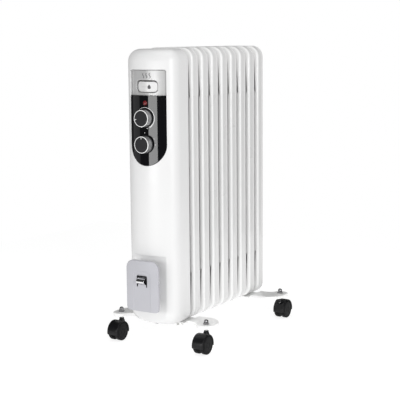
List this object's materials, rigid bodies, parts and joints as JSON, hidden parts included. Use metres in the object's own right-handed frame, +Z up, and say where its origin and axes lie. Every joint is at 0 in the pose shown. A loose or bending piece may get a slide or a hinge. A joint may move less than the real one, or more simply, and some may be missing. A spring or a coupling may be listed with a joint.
{
  "type": "oil filled radiator heater",
  "caption": "Upright oil filled column heater with flanged fins, a round-edged control cover, a cord storage plate and two feet on swivelling twin-wheel castors.",
  "frame": {"origin": "on the floor, under the middle of the overall width and depth", "axes": "+Z up, +X to the right as seen from the control side, -Y towards the user in front of the controls"},
  "size_m": [0.253, 0.4507, 0.636],
  "materials": {
    "fin_enamel": "semi-gloss white enamel",
    "cover_moulding": "smooth white",
    "bezel_moulding": "smooth pale silver",
    "rocker_moulding": "smooth pale grey",
    "fascia_gloss": "mirror-smooth black",
    "knob_silver": "metallised silver",
    "knob_grey": "fine texture",
    "lens_red": "clear tinted",
    "lamp_amber": "clear",
    "storage_grey": "satin lilac grey",
    "bright_chrome": "polished",
    "bare_steel": "zinc plated",
    "black_nylon": "moulded satin",
    "beige_plastic": "plain"
  },
  "bodies": {
    "radiator": {"fin_1": "fin_enamel", "fin_2": "fin_enamel", "fin_3": "fin_enamel", "fin_4": "fin_enamel", "fin_5": "fin_enamel", "fin_6": "fin_enamel", "fin_7": "fin_enamel", "fin_8": "fin_enamel", "fin_9": "fin_enamel", "foot_bracket_front": "fin_enamel", "foot_bracket_rear": "fin_enamel", "front_cover": "cover_moulding", "control_bezel": "bezel_moulding", "control_fascia": "fascia_gloss", "indicator_lens": "lens_red", "indicator_lamp": "lamp_amber", "cord_plate": "storage_grey", "cord_spool": "storage_grey", "plug_clip": "bright_chrome", "castor_fr_acorn_nut": "bright_chrome", "castor_fl_acorn_nut": "bright_chrome", "castor_rl_acorn_nut": "bright_chrome", "castor_rr_acorn_nut": "bright_chrome", "heating_element": "bare_steel", "cover_back_plate": "bare_steel", "thermal_cutout": "bare_steel", "hook_bolt_front": "bare_steel", "hook_bolt_rear": "bare_steel", "wing_nut_front": "bare_steel", "wing_nut_rear": "bare_steel", "castor_fr_stem": "bare_steel", "castor_fl_stem": "bare_steel", "castor_rl_stem": "bare_steel", "castor_rr_stem": "bare_steel", "cord_gland": "black_nylon", "rocker_switch_body": "black_nylon", "thermostat_body": "beige_plastic", "power_switch_body": "beige_plastic", "tilt_switch": "beige_plastic"},
    "thermostat_dial": {"thermostat_knob": "knob_silver", "thermostat_knob_cap": "knob_grey"},
    "power_dial": {"power_knob": "knob_silver", "power_knob_cap": "knob_grey"},
    "rocker": {"rocker_button": "rocker_moulding"},
    "castor_fr": {"castor_fr_hood": "black_nylon"},
    "wheels_fr": {"castor_fr_axle": "bare_steel", "castor_fr_wheel_a": "black_nylon", "castor_fr_wheel_b": "black_nylon"},
    "castor_fl": {"castor_fl_hood": "black_nylon"},
    "wheels_fl": {"castor_fl_axle": "bare_steel", "castor_fl_wheel_a": "black_nylon", "castor_fl_wheel_b": "black_nylon"},
    "castor_rl": {"castor_rl_hood": "black_nylon"},
    "wheels_rl": {"castor_rl_axle": "bare_steel", "castor_rl_wheel_a": "black_nylon", "castor_rl_wheel_b": "black_nylon"},
    "castor_rr": {"castor_rr_hood": "black_nylon"},
    "wheels_rr": {"castor_rr_axle": "bare_steel", "castor_rr_wheel_a": "black_nylon", "castor_rr_wheel_b": "black_nylon"}
  },
  "joints": [
    {"name": "thermostat_turn", "type": "hinge", "parent": "radiator", "child": "thermostat_dial", "pos_m": [0, -0.1954, 0.493], "axis": [0, 1, 0], "range_deg": [0, 240]},
    {"name": "power_turn", "type": "hinge", "parent": "radiator", "child": "power_dial", "pos_m": [0, -0.1954, 0.439], "axis": [0, 1, 0], "range_deg": [0, 135]},
    {"name": "rocker_tip", "type": "hinge", "parent": "radiator", "child": "rocker", "pos_m": [-0.0005, -0.1843, 0.5575], "axis": [0, 0, 1], "range_deg": [0, 12]},
    {"name": "castor_fr_swivel", "type": "hinge", "parent": "radiator", "child": "castor_fr", "pos_m": [0.1095, -0.1414, 0.02], "axis": [0, 0, 1], "continuous": true},
    {"name": "castor_fr_roll", "type": "hinge", "parent": "castor_fr", "child": "wheels_fr", "pos_m": [0.1095, -0.1554, 0.02], "axis": [1, 0, 0], "continuous": true},
    {"name": "castor_fl_swivel", "type": "hinge", "parent": "radiator", "child": "castor_fl", "pos_m": [-0.1095, -0.1414, 0.02], "axis": [0, 0, 1], "continuous": true},
    {"name": "castor_fl_roll", "type": "hinge", "parent": "castor_fl", "child": "wheels_fl", "pos_m": [-0.1095, -0.1554, 0.02], "axis": [1, 0, 0], "continuous": true},
    {"name": "castor_rl_swivel", "type": "hinge", "parent": "radiator", "child": "castor_rl", "pos_m": [-0.1095, 0.188, 0.02], "axis": [0, 0, 1], "continuous": true},
    {"name": "castor_rl_roll", "type": "hinge", "parent": "castor_rl", "child": "wheels_rl", "pos_m": [-0.1095, 0.202, 0.02], "axis": [1, 0, 0], "continuous": true},
    {"name": "castor_rr_swivel", "type": "hinge", "parent": "radiator", "child": "castor_rr", "pos_m": [0.1095, 0.188, 0.02], "axis": [0, 0, 1], "continuous": true},
    {"name": "castor_rr_roll", "type": "hinge", "parent": "castor_rr", "child": "wheels_rr", "pos_m": [0.1095, 0.202, 0.02], "axis": [1, 0, 0], "continuous": true}
  ]
}
